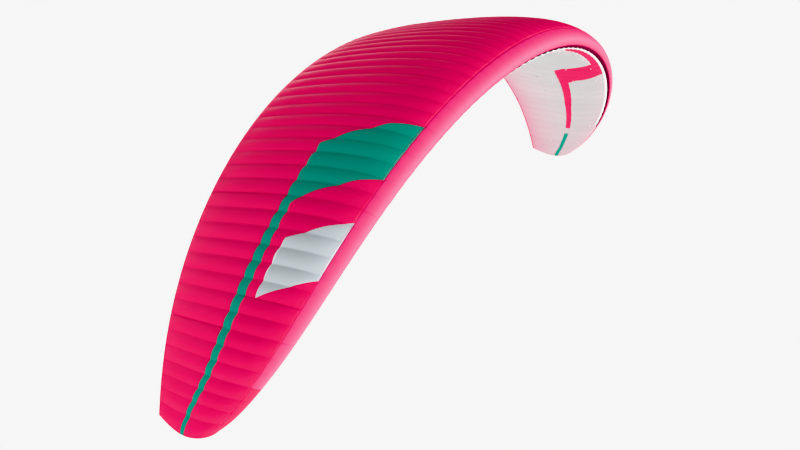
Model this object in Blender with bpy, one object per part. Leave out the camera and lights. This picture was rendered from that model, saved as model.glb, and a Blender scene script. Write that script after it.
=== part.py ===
# Paraglider canopy: an inflated ram-air wing of sewn cloth panels on 68 ribs, shown as it flies.
# Metres, +Z up. The canopy flies towards -Y, its span lies along X, and it is the same on both sides.
# The origin is on the root chord line, a quarter of the chord behind the leading edge, where the air lifts it.
import math

import bmesh
import bpy
import numpy as np
from mathutils import Matrix, Vector

# Driving dimensions: planform, flat on the ground
HALF_SPAN = 6.10
ROOT_CHORD = 2.505
CELLS = 67
LEADING_SWEEP = (0.525, 0.200, 0.541)
TRAILING_SWEEP = (-0.674, 0.219)
LIFT_POINT = 0.25

# Cell widths shrink from the centre to the tip by this cubic in the rib number
TIP_CELL = 0.7130
CELL_GROWTH = 0.4617
CELL_EASING = -0.1747

# The tip is rounded in plan: its edge lies this far beyond the last rib's plane, by chord fraction t, as
# start + slope * t + crown * sin(pi * t ** power), and the shift fades out over two cells
TIP_START = -0.033
TIP_SLOPE = 0.047
TIP_CROWN = 0.107
TIP_POWER = 0.8
TIP_FADE = 2

# Arc in flight: the angle of the surface from level, in radians, by powers 1, 3, 6 and 14 of the span fraction
ARC = ((1, 0.8042), (3, 0.4710), (6, 0.1060), (14, -0.0792))
ARC_SAMPLES = 401
WASHOUT = ((2, 0.0661), (6, -0.0025))

# Aerofoil: a four-digit section without camber, its thickness a fraction of the chord
THICKNESS = 0.184

# Cloth, drawn thicker than the real 0.04 mm so that each panel is a sound solid
CLOTH = 0.0025
SEAM = 0.0004
RIB_GAP = 0.0008
TIP_GAP = 0.0005
UPPER_BULGE = 0.10
LOWER_BULGE = 0.055
BULGE_FADE = 0.15
CALM_NOSE = 0.10
CALM_UPPER = 0.45
CALM_LOWER = 0.19

# Chord fractions of the seams that run all along the span. The cells nearest a tip have no intake.
NOSE_SEAM = 0.05
NOSE_LIP = 0.016
INTAKE_LIP = 0.036
CLOSED_CELLS = 4
HEM = 0.97
NOSE_LINES = (math.sqrt(NOSE_SEAM), 0.135, 0.05, -0.045, -math.sqrt(NOSE_LIP))
RIB_TAIL = 0.95
TAIL_DROP = 0.003

# Ribs, counted from a tip, where one bay of panels ends and the next starts
BAY_ENDS = (0, 7, 15, 21, 28)
BAY_NAMES = ("tip", "outer", "inner", "middle")

# Colour borders: (rib from the tip, chord fraction) at each corner
TEAL_FRONT = ((0, 0.468), (4, 0.416), (14.5, 0.416), (15, 0.385), (16.5, 0.145), (17, NOSE_SEAM))
TEAL_REAR = ((0, 0.537), (4, 0.484), (10, 0.484), (18.5, 0.463), (19, 0.415), (20.5, 0.185), (21, NOSE_SEAM))
WHITE_FRONT = ((9, 0.343), (10.7, NOSE_SEAM))
WHITE_REAR = ((9, 0.343), (12, 0.345), (12.5, 0.335), (14.2, NOSE_SEAM))
BAND_FRONT = ((0, 0.385), (1, 0.345), (3.5, 0.350), (8, 0.368), (13.5, 0.340), (14, 0.27), (15.2, INTAKE_LIP))
BAND_REAR = ((0, 0.47), (1, 0.408), (3.5, 0.408), (9, 0.43), (15.5, 0.407), (16.5, 0.39), (17.5, 0.24), (18, 0.09),
             (26, 0.078), (28, INTAKE_LIP))
EXTRA_COLUMNS = (10.7, 14.2, 15.2)
POINTED_END = 0.002
FOOT_CLEARANCE = 0.004
WALL_REACH = 0.03

# Webbing tabs for the lines, on the ribs of every third cell, in rows A, B and C and at the hem for the brakes
TAB_ROWS = (0.11, 0.29, 0.60)
BRAKE_ROW = 0.985
TAB_RIBS = range(2, 33, 3)
BRAKE_RIBS = range(2, 24, 3)
TAB_SIZE = (0.004, 0.016, 0.020)
TAB_ROOT = 0.0012

COLOURS = {
    "pink": (0.73, 0.0, 0.11),
    "teal": (0.0, 0.33, 0.25),
    "white": (0.56, 0.6, 0.62),
    "lining": (0.7, 0.7, 0.7),
}


def clear_scene():
    for thing in list(bpy.data.objects):
        bpy.data.objects.remove(thing, do_unlink=True)


def new_collection(name):
    collection = bpy.data.collections.new(name)
    bpy.context.scene.collection.children.link(collection)
    return collection


def cloth_material(name):
    material = bpy.data.materials.new(name)
    material.use_nodes = True
    shader = material.node_tree.nodes["Principled BSDF"]
    shader.inputs["Base Color"].default_value = (*COLOURS[name], 1.0)
    shader.inputs["Roughness"].default_value = 0.5
    shader.inputs["Metallic"].default_value = 0.0
    material.diffuse_color = (*COLOURS[name], 1.0)
    return material


# Shape of the wing

def from_tip(station):
    """Rib number counted from the nearer tip, for a station counted in cells from the -X tip."""
    return min(station, CELLS - station)


def span_fraction(rib):
    """Flat distance from the centre, as a fraction of the half span, of a rib counted from the tip."""
    s = rib / (CELLS / 2)
    return 1 - (TIP_CELL * s + CELL_GROWTH * s**2 + CELL_EASING * s**3)


def power_sum(terms, u):
    return sum(factor * u**power for power, factor in terms)


def arc_table():
    """Span fraction, distance out and height along the arc, added up from its angle."""
    u = np.linspace(0, 1, ARC_SAMPLES)
    angle = power_sum(ARC, u)
    step = HALF_SPAN / (ARC_SAMPLES - 1)
    out = np.concatenate([[0], np.cumsum((np.cos(angle[1:]) + np.cos(angle[:-1])) / 2)]) * step
    down = np.concatenate([[0], np.cumsum((np.sin(angle[1:]) + np.sin(angle[:-1])) / 2)]) * step
    return u, out, -down


ARC_U, ARC_X, ARC_Z = arc_table()


def leading_edge(u):
    a, b, c = LEADING_SWEEP
    return a * u**2 + b * u**4 + c * u**8


def trailing_edge(u):
    a, b = TRAILING_SWEEP
    return ROOT_CHORD + a * u**2 + b * u**4


def chord_at(station):
    u = span_fraction(from_tip(station))
    return trailing_edge(u) - leading_edge(u)


def aerofoil(w):
    """Point of the section for w from -1 (lower rear) through 0 (nose) to 1 (upper rear), w * w being the
    chord fraction."""
    t = w * w
    r = abs(w)
    half = 5 * THICKNESS * (0.2969 * r - 0.126 * t - 0.3516 * t**2 + 0.2843 * t**3 - 0.1036 * t**4)
    return t, math.copysign(half, w)


def outward(w):
    """Unit normal of the section at w, pointing out of the wing."""
    step = 0.002
    x0, y0 = aerofoil(max(w - step, -1))
    x1, y1 = aerofoil(min(w + step, 1))
    length = math.hypot(x1 - x0, y1 - y0)
    return -(y1 - y0) / length, (x1 - x0) / length


def cell_width(station):
    rib = min(max(from_tip(station), 0.5), CELLS / 2 - 0.5)
    return HALF_SPAN * (span_fraction(rib - 0.5) - span_fraction(rib + 0.5))


def bulge(station, w):
    """How far the air pushes the cloth out between two ribs: none at a rib, most half way, none at the hem or
    round the nose."""
    middle = math.floor(from_tip(station)) + 0.5
    tent = 1 - abs(2 * (station - math.floor(station)) - 1)
    share = min(max((w + 0.2) / 0.4, 0), 1)
    depth = LOWER_BULGE + (UPPER_BULGE - LOWER_BULGE) * share
    fade = min(1, (1 - w * w) / BULGE_FADE) ** 0.5
    full = CALM_UPPER if w > 0 else CALM_LOWER
    rise = min(max((abs(w) - CALM_NOSE) / (full - CALM_NOSE), 0), 1)
    return tent * depth * fade * rise**2 * (3 - 2 * rise) * cell_width(middle)


def tip_reach(rib, t):
    """How far a point near the tip lies out past its section, which rounds the tip in plan."""
    t = min(max(t, 0), 1)
    edge = TIP_START + TIP_SLOPE * t + TIP_CROWN * math.sin(math.pi * t**TIP_POWER)
    return edge * max(0, 1 - rib / TIP_FADE)**2


def point(station, w, depth=0.0, beyond=0.0):
    """Point of the inflated wing, moved in from its outer face by depth and out past the section by beyond."""
    side = -1 if station < CELLS / 2 else 1
    u = span_fraction(from_tip(station))
    chord = trailing_edge(u) - leading_edge(u)
    along, up = aerofoil(w)
    normal_along, normal_up = outward(w)
    off = bulge(station, w) - depth
    along = along * chord + normal_along * off
    beyond += tip_reach(from_tip(station), along / chord)
    up = up * chord + normal_up * off
    twist = power_sum(WASHOUT, u)
    back = along * math.cos(twist) + up * math.sin(twist)
    rise = up * math.cos(twist) - along * math.sin(twist)
    angle = power_sum(ARC, u)
    x = np.interp(u, ARC_U, ARC_X) + rise * math.sin(angle) + beyond * math.cos(angle)
    z = np.interp(u, ARC_U, ARC_Z) + rise * math.cos(angle) - beyond * math.sin(angle)
    return Vector((side * x, leading_edge(u) + back - LIFT_POINT * ROOT_CHORD, z))


# Columns and lines of the panels' meshes

def border(corners, rib):
    """Chord fraction of a colour border at a rib."""
    ribs, fractions = zip(*corners)
    return float(np.interp(rib, ribs, fractions))


def columns(first, last):
    """Stations of a panel's mesh columns: each rib, each half cell and the borders' own corners."""
    grid = [half / 2 for half in range(2 * CELLS + 1)]
    grid += list(EXTRA_COLUMNS) + [CELLS - extra for extra in EXTRA_COLUMNS]
    return sorted(station for station in grid if first - 1e-6 <= station <= last + 1e-6)


def with_gaps(stations):
    """The same columns, drawn in at both ends by half a seam, apart from a wing tip."""
    half = SEAM / 2
    out = list(stations)
    out[0] += half / cell_width(stations[0])
    out[-1] -= half / cell_width(stations[-1])
    return out


def chord_lines(station, start, end, parts, face):
    """Places round the section (w) of a panel's lines between two chord fractions, drawn in by half a seam."""
    inset = SEAM / 2 / chord_at(station)
    start += inset
    end -= inset
    if end < start + POINTED_END:
        start = end = (start + end) / 2
    return [face * math.sqrt(start + (end - start) * part) for part in parts]


def band_lines(station, front, rear, parts, face):
    """Lines of a panel between two colour borders."""
    rib = from_tip(station)
    return chord_lines(station, border(front, rib), border(rear, rib), parts, face)


def behind_band(station):
    """Chord fraction where the lower rear cloth starts: on a rib's wall, never ahead of the band at the rib."""
    rib = from_tip(station)
    beside = round(rib) if abs(rib - round(rib)) < WALL_REACH else rib
    return max(border(BAND_REAR, rib), border(BAND_REAR, beside))


# Mesh makers

def finish_mesh(name, verts, faces, material, collection):
    mesh = bpy.data.meshes.new(name)
    mesh.from_pydata(verts, [], faces)
    bm = bmesh.new()
    bm.from_mesh(mesh)
    bmesh.ops.remove_doubles(bm, verts=bm.verts, dist=0.00002)
    bmesh.ops.recalc_face_normals(bm, faces=bm.faces)
    bm.to_mesh(mesh)
    bm.free()
    thing = bpy.data.objects.new(name, mesh)
    thing.data.materials.append(material)
    collection.objects.link(thing)
    return thing


def grid_faces(columns_count, rows_count, start, skip=()):
    """Quads of a grid whose vertices run row by row inside each column."""
    faces = []
    for i in range(columns_count - 1):
        if i in skip:
            continue
        for j in range(rows_count - 1):
            a = start + i * rows_count + j
            faces.append((a, a + 1, a + 1 + rows_count, a + rows_count))
    return faces


def rim_faces(columns_count, rows_count, inner):
    """Quads that close the four edges between the outer grid and the inner grid."""
    last = (columns_count - 1) * rows_count
    faces = []
    for i in range(columns_count - 1):
        for j in (0, rows_count - 1):
            a = i * rows_count + j
            b = a + rows_count
            faces.append((a, b, b + inner, a + inner))
    for j in range(rows_count - 1):
        for a in (j, last + j):
            faces.append((a, a + 1, a + 1 + inner, a + inner))
    return faces


def cloth_shell(name, stations, outer_line, inner_line, material, collection):
    """A sewn panel: an outer and an inner face of cloth, closed round all its edges."""
    outer = [point(s, w, depth) for s in stations for w, depth in outer_line(s)]
    inner = [point(s, w, depth) for s in stations for w, depth in inner_line(s)]
    rows = len(outer_line(stations[0]))
    faces = grid_faces(len(stations), rows, 0)
    faces += grid_faces(len(stations), rows, len(outer))
    faces += rim_faces(len(stations), rows, len(outer))
    return finish_mesh(name, outer + inner, faces, material, collection)


def plain_panel(name, first, last, front, rear, parts, face, material, collection):
    def outer_line(station):
        return [(w, 0.0) for w in band_lines(station, front, rear, parts, face)]

    def inner_line(station):
        return [(w, CLOTH) for w, _ in outer_line(station)]

    stations = with_gaps(columns(first, last))
    return cloth_shell(name, stations, outer_line, inner_line, material, collection)


def hemmed_panel(name, first, last, parts, material, collection):
    """Upper panel that runs back to the trailing edge, where it is a solid wedge down to the lower face."""
    def outer_line(station):
        start = border(TEAL_REAR, from_tip(station))
        end = HEM + SEAM / chord_at(station)
        return [(w, 0.0) for w in chord_lines(station, start, end, parts, 1)] + [(1.0, 0.0)]

    def inner_line(station):
        upper = [(w, CLOTH) for w, _ in outer_line(station)[:-1]]
        return upper + [(-upper[-1][0], 0.0)]

    stations = with_gaps(columns(first, last))
    return cloth_shell(name, stations, outer_line, inner_line, material, collection)


def nose_panel(name, first, last, material, collection):
    """Leading-edge panel, from the nose seam on top round the nose to the intakes' upper lip."""
    def outer_line(station):
        inset = SEAM / 2 / chord_at(station)
        lines = list(NOSE_LINES)
        lines[0] = math.sqrt(NOSE_SEAM - inset)
        lines[-1] = -math.sqrt(NOSE_LIP - inset)
        return [(w, 0.0) for w in lines]

    def inner_line(station):
        return [(w, CLOTH) for w, _ in outer_line(station)]

    stations = [s for s in columns(first, last) if abs(2 * s - round(2 * s)) < 1e-6]
    return cloth_shell(name, with_gaps(stations), outer_line, inner_line, material, collection)


def rib_outline(station, wall):
    """Free edge of the rib at a station, from the hem over the top and round the nose to the foot of one of
    its walls."""
    rib = from_tip(station)
    foot = border(BAND_REAR, rib)
    clear = CLOTH + RIB_GAP
    tops = {NOSE_SEAM}
    for first, last, front, rear, parts in UPPER_BANDS:
        if first < rib < last:
            start = border(front, rib)
            end = border(rear, rib)
            tops |= {start + (end - start) * part for part in (0, parts[len(parts) // 2], 1)}
    edge = [(math.sqrt(RIB_TAIL), clear + TAIL_DROP)]
    edge += [(math.sqrt(t), clear) for t in sorted(tops, reverse=True) if t < RIB_TAIL]
    edge += [(w, clear) for w in NOSE_LINES[2:]]
    fractions = set()
    for first, last, front, rear, parts in LOWER_BANDS:
        if first < rib < last:
            start = border(front, rib)
            end = border(rear, rib)
            fractions |= {start + (end - start) * part for part in (0, parts[len(parts) // 2], 1)}
    edge += [(-math.sqrt(t), clear) for t in sorted(fractions) if NOSE_LIP < t < foot - FOOT_CLEARANCE]
    return edge + [(-math.sqrt(behind_band(wall)), clear)]


def ribbed_panel(name, first, last, parts, material, collection):
    """Rear lower panel of a bay with the ribs that stand on it, each rib a sheet from hem to nose."""
    half = CLOTH / 2
    stations = []
    rib_starts = {}
    for station in [s for s in columns(first, last) if abs(2 * s - round(2 * s)) < 1e-6]:
        is_rib = abs(station - round(station)) < 1e-6
        mine = station > first + 0.1 if station < CELLS / 2 else station < last - 0.1
        if not is_rib:
            stations.append(station)
        elif mine and 0 < station < CELLS:
            width = cell_width(station)
            rib_starts[len(stations)] = station
            stations += [station - half / width, station + half / width]
        elif station == 0 or station == CELLS:
            stations.append(station)
        else:
            side = 1 if station == first else -1
            stations.append(station + side * (half + SEAM) / cell_width(station))
    if first == 0:
        stations[0] += SEAM / 2 / cell_width(0)
    if last == CELLS:
        stations[-1] -= SEAM / 2 / cell_width(CELLS)

    rows = len(parts)

    def line(station):
        return chord_lines(station, behind_band(station), HEM, parts, -1)

    verts = [point(s, w) for s in stations for w in line(s)]
    inner = len(verts)
    verts += [point(s, w, CLOTH) for s in stations for w in line(s)]
    faces = grid_faces(len(stations), rows, 0)
    faces += grid_faces(len(stations), rows, inner, skip=rib_starts)
    faces += rim_faces(len(stations), rows, inner)
    for i, rib in rib_starts.items():
        loops = []
        for column in (i, i + 1):
            edge = rib_outline(rib, stations[column])
            start = len(verts)
            verts += [point(stations[column], w, depth) for w, depth in edge]
            foot = [inner + column * rows + j for j in range(rows)]
            loops.append(foot + list(range(start, start + len(edge))))
            faces.append(tuple(loops[-1]))
        rim = [rows - 1] + list(range(rows, rows + len(edge))) + [0]
        for a, b in zip(rim[:-1], rim[1:]):
            faces.append((loops[0][a], loops[0][b], loops[1][b], loops[1][a]))
    return finish_mesh(name, verts, faces, material, collection)


def strip_cuts(places):
    """Triangles of a strip between the lower and the upper points of a section, from the nose back."""
    lower = [i for i in reversed(range(len(places))) if places[i] < 0]
    upper = [i for i in range(len(places)) if places[i] > 0]
    cuts = []
    while len(lower) > 1 or len(upper) > 1:
        if len(upper) == 1 or (len(lower) > 1 and -places[lower[1]] < places[upper[1]]):
            cuts.append((lower[0], upper[0], lower[1]))
            lower.pop(0)
        else:
            cuts.append((lower[0], upper[0], upper[1]))
            upper.pop(0)
    return cuts


def tip_panel(name, station, material, collection):
    """Cloth that closes the wing tip, the last rib of its side. A ring of points lies under the panels' edges."""
    lines = [w for w in NOSE_LINES]
    for face, bands in ((1, UPPER_BANDS), (-1, LOWER_BANDS)):
        for first, last, front, rear, parts in bands:
            if first < 0:
                start = border(front, 0)
                end = border(rear, 0)
                lines += [face * math.sqrt(start + (end - start) * part) for part in parts]
    lines += [-math.sqrt(HEM), 1.0]
    ordered = sorted(set(round(w, 6) for w in lines))
    count = len(ordered)
    verts = []
    for beyond in (TIP_GAP, TIP_GAP + CLOTH):
        verts += [point(station, w, 0.0, beyond) for w in ordered]
        verts += [point(station, w, CLOTH if w < 1 else 0.0, beyond) for w in ordered]
    pairs = [(i, (i + 1) % count) for i in range(count)]
    faces = [(i, j, 2 * count + j, 2 * count + i) for i, j in pairs]
    for start in (0, 2 * count):
        ring = start + count
        faces += [(start + i, start + j, ring + j, ring + i) for i, j in pairs]
        faces += [tuple(ring + i for i in cut) for cut in strip_cuts(ordered)]
    return finish_mesh(name, verts, faces, material, collection)


# Line tabs

def tab_matrix(station, ahead, behind, share):
    """Place and turn of a tab that stands on the facet between two lines of a panel: its x across the rib,
    its y along the cloth, its z out of the wing."""
    start = point(station, ahead)
    end = point(station, behind)
    along = (start - end).normalized()
    across = (point(station, ahead, 0.0, 0.01) - start).normalized()
    out = across.cross(along)
    if (point(station, ahead, -0.01) - start).dot(out) < 0:
        out = -out
        along = -along
    turn = Matrix((across, along, out)).transposed().to_4x4()
    width, length, drop = TAB_SIZE
    return Matrix.Translation(start.lerp(end, share)) @ turn @ \
        Matrix.Translation((0, 0, (drop - TAB_ROOT) / 2)) @ Matrix.Diagonal((width, length, drop + TAB_ROOT, 1))


def row_seat(station, row, front, rear, parts):
    """Where a row's tab meets a lower panel: the panel's lines before and behind it, and the share between."""
    lines = band_lines(station, front, rear, parts, -1)
    for ahead, behind in zip(lines[:-1], lines[1:]):
        if ahead**2 <= row <= behind**2:
            return station, ahead, behind, (row - ahead**2) / (behind**2 - ahead**2)
    return None


def brake_seat(station):
    """Where a brake tab meets the hem's lower face."""
    start = HEM + SEAM / 2 / chord_at(station)
    return station, -math.sqrt(start), 1.0, (BRAKE_ROW - start) / (1 - start)


def add_tabs(thing, seats, cutters):
    """Joins webbing tabs to a panel, one at each seat."""
    if not seats:
        return
    bm = bmesh.new()
    for seat in seats:
        bmesh.ops.create_cube(bm, size=1.0, matrix=tab_matrix(*seat))
    bmesh.ops.recalc_face_normals(bm, faces=bm.faces)
    mesh = bpy.data.meshes.new(thing.name + "_tabs")
    bm.to_mesh(mesh)
    bm.free()
    tabs = bpy.data.objects.new(thing.name + "_tabs", mesh)
    tabs.hide_render = True
    tabs.display_type = "WIRE"
    cutters.objects.link(tabs)
    join = thing.modifiers.new("tabs", "BOOLEAN")
    join.operation = "UNION"
    join.solver = "EXACT"
    join.object = tabs


# Bands of cloth: first rib, last rib, front border, rear border and the share of each line between them
NOSE_BORDER = ((0, NOSE_SEAM), (CELLS, NOSE_SEAM))
LIP_BORDER = ((0, NOSE_LIP), (CLOSED_CELLS, NOSE_LIP), (CLOSED_CELLS + 1, INTAKE_LIP), (CELLS, INTAKE_LIP))
HEM_BORDER = ((0, HEM), (CELLS, HEM))
FRONT_PARTS = (0, 0.2, 0.52, 1)
TIP_FRONT_PARTS = (0, 0.05, 0.2, 0.52, 1)
REAR_PARTS = (0, 0.36, 0.72, 1)
WHOLE_PARTS = (0, 0.07, 0.2, 0.38, 0.6, 0.82, 1)
CENTRE_PARTS = (0, 0.15, 0.35, 0.65, 1)
UPPER_BANDS = (
    (-1, 9, NOSE_BORDER, TEAL_FRONT, FRONT_PARTS),
    (9, 10.7, NOSE_BORDER, WHITE_FRONT, FRONT_PARTS),
    (9, 14.2, WHITE_FRONT, WHITE_REAR, FRONT_PARTS),
    (9, 17, WHITE_REAR, TEAL_FRONT, FRONT_PARTS),
    (-1, 9, TEAL_FRONT, TEAL_REAR, (0, 1)),
    (9, 21, TEAL_FRONT, TEAL_REAR, FRONT_PARTS),
    (-1, 21, TEAL_REAR, HEM_BORDER, REAR_PARTS),
    (21, CELLS, TEAL_REAR, HEM_BORDER, WHOLE_PARTS),
)
LOWER_BANDS = (
    (-1, 7, LIP_BORDER, BAND_FRONT, TIP_FRONT_PARTS),
    (7, 15.2, LIP_BORDER, BAND_FRONT, FRONT_PARTS),
    (-1, 13.5, BAND_FRONT, BAND_REAR, (0, 1)),
    (13.5, 28, BAND_FRONT, BAND_REAR, (0, 0.46, 1)),
    (-1, CELLS, BAND_REAR, HEM_BORDER, (0, 0.5, 1)),
)


def stations_between(first, last, side):
    """Stations of a panel between two ribs counted from the tip: side -1 is -X, the pilot's right."""
    if side < 0:
        return first, last
    return CELLS - last, CELLS - first


def row_seats(first, last, front, rear, parts, side):
    """Seats of all row tabs that fall on one lower panel."""
    seats = []
    for rib in TAB_RIBS:
        station = rib if side < 0 else CELLS - rib
        if first < rib < last:
            seats += [row_seat(station, row, front, rear, parts) for row in TAB_ROWS]
    return [seat for seat in seats if seat]


# Plain panels of one side: name, first rib, last rib, front border, rear border, lines and cloth
UPPER_PANELS = (
    ("upper_front_tip_panel", 0, 9, NOSE_BORDER, TEAL_FRONT, FRONT_PARTS, "pink"),
    ("upper_front_outer_panel", 9, 10.7, NOSE_BORDER, WHITE_FRONT, FRONT_PARTS, "pink"),
    ("upper_white_insert", 9, 14.2, WHITE_FRONT, WHITE_REAR, FRONT_PARTS, "white"),
    ("upper_front_inner_panel", 9, 17, WHITE_REAR, TEAL_FRONT, FRONT_PARTS, "pink"),
    ("upper_teal_stripe", 0, 9, TEAL_FRONT, TEAL_REAR, (0, 1), "teal"),
    ("upper_teal_insert", 9, 21, TEAL_FRONT, TEAL_REAR, FRONT_PARTS, "teal"),
)
LOWER_PANELS = (
    ("lower_front_tip_panel", 0, 7, LIP_BORDER, BAND_FRONT, TIP_FRONT_PARTS, "lining"),
    ("lower_front_outer_panel", 7, 15.2, LIP_BORDER, BAND_FRONT, FRONT_PARTS, "lining"),
    ("lower_teal_stripe", 0, 3.5, BAND_FRONT, BAND_REAR, (0, 1), "teal"),
    ("lower_stripe_gap", 3.5, 4.5, BAND_FRONT, BAND_REAR, (0, 1), "lining"),
    ("lower_pink_stripe", 4.5, 13.5, BAND_FRONT, BAND_REAR, (0, 1), "pink"),
    ("lower_pink_insert", 13.5, 28, BAND_FRONT, BAND_REAR, (0, 0.46, 1), "pink"),
)
BAYS = tuple(zip(BAY_NAMES, BAY_ENDS[:-1], BAY_ENDS[1:],
                 (REAR_PARTS, REAR_PARTS, REAR_PARTS, WHOLE_PARTS),
                 ((0, 0.5, 1), (0, 0.5, 1), (0, 0.35, 0.7, 1), CENTRE_PARTS)))


def build_side(side, word, cloth, canopy, cutters):
    """All panels of one side, out from the centre bay."""
    for name, first, last, front, rear, parts, colour in UPPER_PANELS:
        low, high = stations_between(first, last, side)
        plain_panel(f"{name}_{word}", low, high, front, rear, parts, 1, cloth[colour], canopy)
    for name, first, last, front, rear, parts, colour in LOWER_PANELS:
        low, high = stations_between(first, last, side)
        panel = plain_panel(f"{name}_{word}", low, high, front, rear, parts, -1, cloth[colour], canopy)
        add_tabs(panel, row_seats(first, last, front, rear, parts, side), cutters)
    for bay, first, last, upper_parts, lower_parts in BAYS:
        low, high = stations_between(first, last, side)
        nose_panel(f"nose_{bay}_panel_{word}", low, high, cloth["pink"], canopy)
        panel = hemmed_panel(f"upper_rear_{bay}_panel_{word}", low, high, upper_parts, cloth["pink"], canopy)
        stations = [rib if side < 0 else CELLS - rib for rib in BRAKE_RIBS if first < rib < last]
        add_tabs(panel, [brake_seat(station) for station in stations], cutters)
        panel = ribbed_panel(f"lower_rear_{bay}_panel_{word}", low, high, lower_parts, cloth["lining"], canopy)
        add_tabs(panel, row_seats(first, last, BAND_REAR, HEM_BORDER, lower_parts, side), cutters)
    tip_panel(f"tip_end_panel_{word}", 0 if side < 0 else CELLS, cloth["pink"], canopy)


def build_centre(cloth, canopy, cutters):
    """The bay across the middle of the span."""
    first = BAY_ENDS[-1]
    last = CELLS - first
    nose_panel("nose_centre_panel", first, last, cloth["pink"], canopy)
    hemmed_panel("upper_rear_centre_panel", first, last, WHOLE_PARTS, cloth["pink"], canopy)
    panel = ribbed_panel("lower_rear_centre_panel", first, last, CENTRE_PARTS, cloth["lining"], canopy)
    seats = []
    for side in (-1, 1):
        seats += row_seats(first, CELLS / 2, BAND_REAR, HEM_BORDER, CENTRE_PARTS, side)
    add_tabs(panel, seats, cutters)


clear_scene()
canopy_collection = new_collection("paraglider_canopy")
tab_collection = new_collection("joined_tabs")
cloths = {colour: cloth_material(colour) for colour in COLOURS}
build_side(-1, "right", cloths, canopy_collection, tab_collection)
build_side(1, "left", cloths, canopy_collection, tab_collection)
build_centre(cloths, canopy_collection, tab_collection)
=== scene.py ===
# Paraglider canopy: an inflated ram-air wing, sewn from ripstop nylon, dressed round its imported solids.
# Metres, +Z up. It flies towards -Y, its span lies along X, and the photograph shows its -X half nearer.
import math

import bmesh
import bpy
import numpy as np
from mathutils import Matrix, Vector
from mathutils.geometry import tessellate_polygon


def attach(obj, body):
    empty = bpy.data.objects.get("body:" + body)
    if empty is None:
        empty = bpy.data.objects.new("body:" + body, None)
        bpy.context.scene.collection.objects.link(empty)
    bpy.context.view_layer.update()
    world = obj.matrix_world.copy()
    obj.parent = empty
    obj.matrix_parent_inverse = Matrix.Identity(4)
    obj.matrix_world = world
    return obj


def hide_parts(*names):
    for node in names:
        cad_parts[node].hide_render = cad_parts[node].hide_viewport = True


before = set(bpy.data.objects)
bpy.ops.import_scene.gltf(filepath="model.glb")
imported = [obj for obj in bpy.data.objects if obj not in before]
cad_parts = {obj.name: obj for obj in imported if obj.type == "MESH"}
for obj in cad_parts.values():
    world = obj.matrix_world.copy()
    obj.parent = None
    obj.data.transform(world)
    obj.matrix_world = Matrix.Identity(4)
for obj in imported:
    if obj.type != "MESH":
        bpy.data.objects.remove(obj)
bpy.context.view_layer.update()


# Ribs
# A rib is a flat sheet of stiff white nylon that gives the wing its section. It is sewn in between the upper
# and the lower cloth, and oval ports cut in it let the air pass from cell to cell. It shows in the intakes.

HALF_SPAN = 6.10
ROOT_CHORD = 2.505
CELLS = 67
MIDDLE = CELLS / 2
LEADING_SWEEP = (0.525, 0.200, 0.541)
TRAILING_SWEEP = (-0.674, 0.219)
LIFT_POINT = 0.25
TIP_CELL = 0.7130
CELL_GROWTH = 0.4617
CELL_EASING = -0.1747
TIP_START = -0.033
TIP_SLOPE = 0.047
TIP_CROWN = 0.107
TIP_POWER = 0.8
TIP_FADE = 2
ARC = ((1, 0.8042), (3, 0.4710), (6, 0.1060), (14, -0.0792))
ARC_SAMPLES = 401
WASHOUT = ((2, 0.0661), (6, -0.0025))
THICKNESS = 0.184
SLOPE_STEP = 0.002

# The upper cloth swells a quarter more than on the solids, as the photograph shades each cell strongly
UPPER_BULGE = 0.125
LOWER_BULGE = 0.055
BULGE_BLEND = 0.2
BULGE_FADE = 0.15
CALM_NOSE = 0.10
CALM_UPPER = 0.45
CALM_LOWER = 0.19

NOSE_SEAM = 0.05
NOSE_LIP = 0.016
INTAKE_LIP = 0.036
CLOSED_CELLS = 4
BAYS = (("tip", 0, 7), ("outer", 7, 15), ("inner", 15, 21), ("middle", 21, 28))
CENTRE_BAY = (28, CELLS - 28)
SIDES = (("right", -1), ("left", 1))

# Real cloth is 0.04 mm thick; it is drawn 1.2 mm thick, so that each sheet has two faces and an edge
CLOTH = 0.0012
SEAM_GAP = 0.0004
RIB_CLOTH = 0.0008
RIB_TAIL = 0.955
RIB_OUTLINE_POINTS = 60
PORTS = ((0.13, 0.30), (0.22, 0.44), (0.33, 0.50), (0.45, 0.48), (0.57, 0.44), (0.68, 0.38))
PORT_LENGTH = 0.075
PORT_POINTS = 20

# Noise scales in swings a metre; the weave is drawn coarser than real, so that it shows
HANDLED_SCALE = 9.0
WEAVE_SCALE = 260.0
WEAVE_RELIEF = 0.001
WEAVE_STRENGTH = 0.2
NYLON_ROUGHNESS = 0.7
NYLON_GLOSS = 0.25


def hex_colour(code):
    """Linear colour of an sRGB hex code."""
    channels = [int(code[i:i + 2], 16) / 255 for i in (1, 3, 5)]
    return (*[c / 12.92 if c <= 0.04045 else ((c + 0.055) / 1.055) ** 2.4 for c in channels], 1.0)


def add_node(tree, kind, inputs=None, **settings):
    """Adds a node with its settings; an input is a value or the socket that it is linked to."""
    made = tree.nodes.new(kind)
    for key, value in settings.items():
        setattr(made, key, value)
    for key, value in (inputs or {}).items():
        if isinstance(value, bpy.types.NodeSocket):
            tree.links.new(value, made.inputs[key])
        else:
            made.inputs[key].default_value = value
    return made


def mix_colour(tree, share, first, second):
    """Colour socket of a mix of two colours."""
    return add_node(tree, "ShaderNodeMix", {"Factor": share, "A": first, "B": second},
                    data_type="RGBA").outputs["Result"]


def from_tip(station):
    """Rib number counted from the nearer tip, for a station counted in cells from the -X tip."""
    return np.minimum(station, CELLS - station)


def side_of(station):
    """-1 on the -X half of the wing and 1 on the other one."""
    return np.where(station < MIDDLE, -1, 1)


def span_fraction(rib):
    """Flat distance from the centre, as a fraction of the half span, of a rib counted from the tip."""
    s = rib / MIDDLE
    return 1 - (TIP_CELL * s + CELL_GROWTH * s**2 + CELL_EASING * s**3)


def power_sum(terms, u):
    return sum(factor * u**power for power, factor in terms)


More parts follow.
